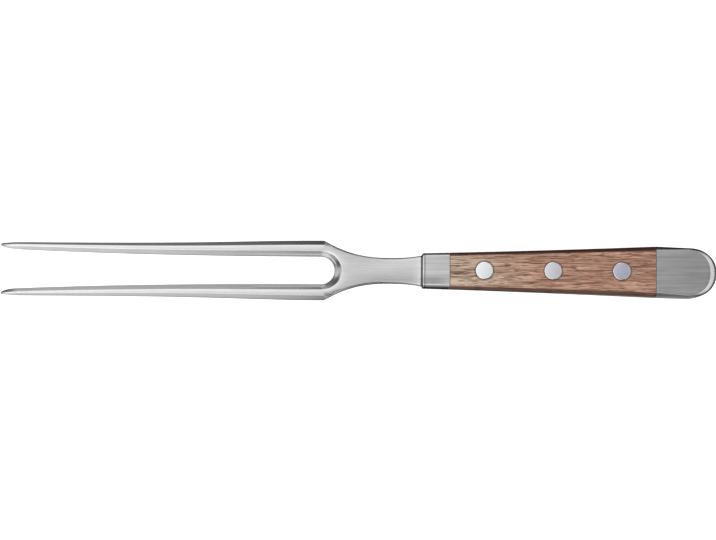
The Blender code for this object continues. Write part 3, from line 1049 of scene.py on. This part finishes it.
def turn_head(name, top):
    """A flat head with a rounded rim and hardly any crown."""
    rim = top - HEAD_CROWN
    head = turn_blank(name, HEAD_RADIUS, top - HEAD_HEIGHT, rim)
    open_up(head)
    pick("EDGE", lambda edge: all(close_to(vert.co.z, rim) for vert in edge.verts))
    bpy.ops.mesh.bevel(offset=RIM_ROUNDING, segments=4, affect="EDGES")
    pick("FACE", lambda face: face.normal.z > 0.999)
    bpy.ops.mesh.inset(thickness=RIM_LAND)
    # Four rings, each less steep than the one outside it
    ring = (HEAD_RADIUS - RIM_ROUNDING - RIM_LAND) / 4
    for steepness in (7, 5, 3):
        bpy.ops.mesh.inset(thickness=ring, depth=HEAD_CROWN * steepness / 16)
    bpy.ops.mesh.poke(offset=HEAD_CROWN / 16)
    close_up()
    return head


def pick_underside(height):
    pick("FACE", lambda face: (
        abs(face.normal.z) > 0.999 and close_to(face.calc_center_median().z, height)
    ))


def draw_pin(pin, end, top):
    """Draws the solid pin out of a head's underside."""
    under = top - HEAD_HEIGHT
    open_up(pin)
    pick_underside(under)
    bpy.ops.mesh.inset(thickness=HEAD_RADIUS - PIN_RADIUS)
    push(end + PIN_LEAD - under)
    push(-PIN_LEAD)
    narrow = (PIN_RADIUS - PIN_LEAD) / PIN_RADIUS
    bpy.ops.transform.resize(value=(narrow, narrow, 1), center_override=(FRONT_RIVET, 0, end))
    close_up()


def draw_barrel(barrel, bottom, end):
    """Draws the barrel out of a head that has been turned over, and bores it for the pin."""
    under = bottom + HEAD_HEIGHT
    open_up(barrel)
    pick_underside(under)
    bpy.ops.mesh.inset(thickness=HEAD_RADIUS - BARREL_RADIUS)
    push(end - under)
    bpy.ops.mesh.inset(thickness=BARREL_RADIUS - BORE_RADIUS)
    push(bottom + BORE_FLOOR - end)
    close_up()


def make_rivets(aluminium):
    """Both halves of the front rivet, then copies of them along the grip."""
    pin_end, pin_top = (corner.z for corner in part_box("front_rivet_pin"))
    barrel_bottom, barrel_end = (corner.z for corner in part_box("front_rivet_barrel"))
    pin = turn_head("front_pin", pin_top)
    barrel = copy_piece(pin, "front_barrel")
    turn_over(barrel)
    draw_pin(pin, pin_end, pin_top)
    draw_barrel(barrel, barrel_bottom, barrel_end)
    for half, first in (("pin", pin), ("barrel", barrel)):
        smooth(first)
        copies = [
            copy_along(first, f"{place}_{half}", pitches)
            for pitches, place in enumerate(RIVET_PLACES[1:], 1)
        ]
        for place, piece in zip(RIVET_PLACES, [first] + copies):
            hand_in(piece, f"{place}_rivet_{half}", aluminium)


# Studio


def lay_table():
    take()
    bpy.ops.mesh.primitive_plane_add(size=TABLE_SIZE, location=(0, 0, TABLE_TOP))
    table = start_piece("table")
    table.data.materials.append(pale_table())
    table.visible_glossy = False
    table.visible_diffuse = False


def dark_cloths(nodes, x, y, across):
    """Cloths in the tent, each with the share of the light that it takes away."""
    opening = nodes.rise(x - y * 0.4, 0.0, 0.09) * nodes.fall(x, 0.3, 0.6)
    opening = opening * nodes.fall(y * y, 0.06, 0.3)
    neck_apron = nodes.fall(across, -70, -50) * nodes.band(x, (-0.08, 0.01), (0.045, 0.1))
    handle_apron = nodes.band(across, (-86, -78), (-62, -50))
    handle_apron = handle_apron * nodes.band(x, (0.03, 0.05), (0.3, 0.4))
    near_cloth = nodes.fall(y, -0.35, -0.2) * nodes.rise(across, -80, -60)
    near_cloth = near_cloth * nodes.band(x, (0.06, 0.11), (0.25, 0.4))
    near_flag = nodes.band(y, (-0.6, -0.42), (-0.15, -0.05)) * nodes.fall(x, -0.8, -0.6)
    far_left_flag = nodes.rise(y + x * 0.35, 0.02, 0.25) * nodes.fall(x, -0.3, -0.17)
    far_right_flag = nodes.rise(y, 0.12, 0.3) * nodes.band(x, (0.05, 0.12), (0.3, 0.42))
    far_strip = nodes.band(x, (-0.015, 0.0), (0.05, 0.07))
    far_strip = far_strip * nodes.band(across, (56, 66), (96, 112))
    return (
        (opening, 0.72),
        (neck_apron, 0.8),
        (handle_apron, 0.92),
        (near_cloth, 0.65),
        (near_flag, 0.75),
        (far_left_flag, 0.75),
        (far_right_flag, 0.97),
        (far_strip, 0.9),
    )


def white_cards(nodes, x, across):
    """Light that white cards beside the pommel and the tips add."""
    pommel_side = nodes.band(x, (0.07, 0.1), (0.2, 0.3))
    far_card = nodes.band(across, (10, 25), (96, 112))
    low_card = nodes.fall(across, -122, -114)
    tip_side = nodes.band(x, (-0.35, -0.25), (-0.12, -0.05))
    tip_card = nodes.band(across, (84, 92), (112, 130))
    return pommel_side * (far_card * 0.72 + low_card * 0.32) + tip_side * tip_card * 0.3


def hang_light_tent():
    """A white tent arched over the fork, with an opening for the camera."""
    world = bpy.data.worlds.new("light_tent")
    world.use_nodes = True
    bpy.context.scene.world = world
    nodes = Nodes(world.node_tree)
    x, y, z = nodes.axes(nodes.add("TexCoord", out="Generated"))
    across = nodes.add("Math", {"operation": "ARCTAN2"}, {0: y, 1: z}) * (1 / DEGREE)
    arch = nodes.ramp(across, TENT_ARCH)
    end_wall = nodes.rise(x, 0.38, 0.55) * nodes.rise(z, -0.45, -0.1)
    level = nodes.ramp(x, TENT_ALONG) * (arch + (1 - arch) * end_wall) * TENT_LIGHT
    for cloth, strength in dark_cloths(nodes, x, y, across):
        level = level * (1 - cloth * strength)
    level = level + white_cards(nodes, x, across)
    seen = nodes.add("LightPath", out="Is Camera Ray")
    background = world.node_tree.nodes["Background"]
    feed(background.inputs["Strength"], seen * BACKDROP + (1 - seen) * level)
    feed(background.inputs["Color"], grey(1.0))


def set_camera():
    lens = bpy.data.cameras.new("camera")
    lens.lens = LENS
    lens.sensor_width = SENSOR
    camera = bpy.data.objects.new("camera", lens)
    bpy.context.scene.collection.objects.link(camera)
    back = Vector((0, -math.sin(CAMERA_TILT), math.cos(CAMERA_TILT)))
    place = Matrix.Translation(CAMERA_TARGET + back * CAMERA_DISTANCE)
    tilt = Matrix.Rotation(CAMERA_TILT, 4, "X")
    roll = Matrix.Rotation(CAMERA_ROLL, 4, "Z")
    camera.matrix_world = place @ tilt @ roll
    bpy.context.scene.camera = camera


bpy.context.scene.view_settings.view_transform = "Standard"
set_camera()
hang_light_tent()
lay_table()
hole_cutter = make_hole_cutter()
forge_fork(brushed_steel(), hole_cutter)
make_scales(walnut(), hole_cutter)
make_rivets(rivet_aluminium())
bpy.data.objects.remove(hole_cutter)
